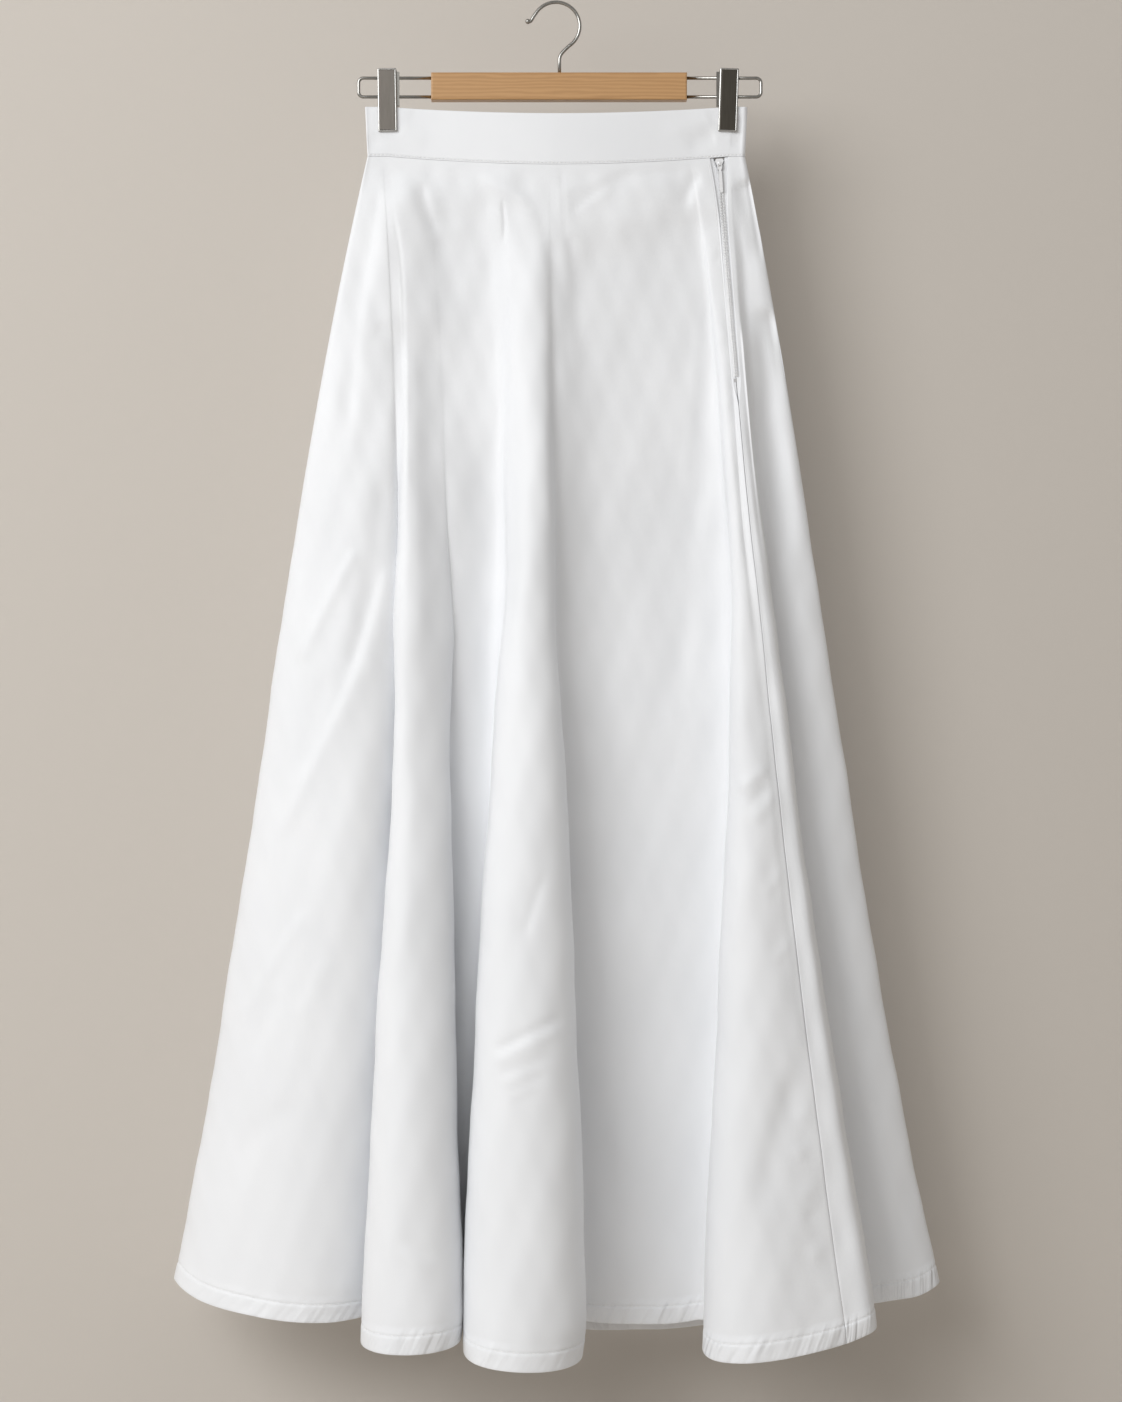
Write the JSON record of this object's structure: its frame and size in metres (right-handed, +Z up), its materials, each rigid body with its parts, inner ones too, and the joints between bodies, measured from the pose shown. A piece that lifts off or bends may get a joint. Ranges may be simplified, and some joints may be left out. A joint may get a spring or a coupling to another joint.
{
  "type": "maxi skirt on a clip hanger",
  "caption": "Long flared satin skirt with a flat waistband and a side zip, hung by clips from a wood and wire hanger.",
  "frame": {"origin": "inside top of the hanger's hook, where it hangs", "axes": "+Z up, -Y the skirt's front as seen, +Y towards the wall, +X the side with the zip"},
  "size_m": [0.6451, 0.2026, 1.1343],
  "materials": {
    "satin_cloth": "white satin-like twill with a soft sheen",
    "zip_tape": "white woven polyester tape",
    "zip_teeth": "white nylon coil",
    "zip_metal": "polished nickel",
    "beech": "clear satin varnish on straight-grained beech",
    "wire_chrome": "polished steel wire",
    "clip_metal": "satin nickel with polished bevels"
  },
  "bodies": {
    "skirt": {"skirt_front": "satin_cloth", "skirt_back": "satin_cloth", "waistband": "satin_cloth", "zip_tape_front": "zip_tape", "zip_tape_back": "zip_tape", "zip_chain_front": "zip_teeth", "zip_chain_back": "zip_teeth", "zip_slider": "zip_metal", "zip_stop": "zip_metal", "hanger_bar": "beech", "hanger_hook": "wire_chrome", "hanger_wire_left": "wire_chrome", "hanger_wire_right": "wire_chrome", "clip_left_front": "clip_metal", "clip_left_back": "clip_metal", "clip_left_sleeve": "wire_chrome", "clip_right_front": "clip_metal", "clip_right_back": "clip_metal", "clip_right_sleeve": "wire_chrome"},
    "pull_tab": {"zip_pull": "zip_metal"}
  },
  "joints": [
    {"name": "pull_swing", "type": "hinge", "parent": "skirt", "child": "pull_tab", "pos_m": [0.13719, -0.00431, -0.1347], "axis": [-0.9975, -0.0063, -0.0704], "range_deg": [0, 165]}
  ]
}
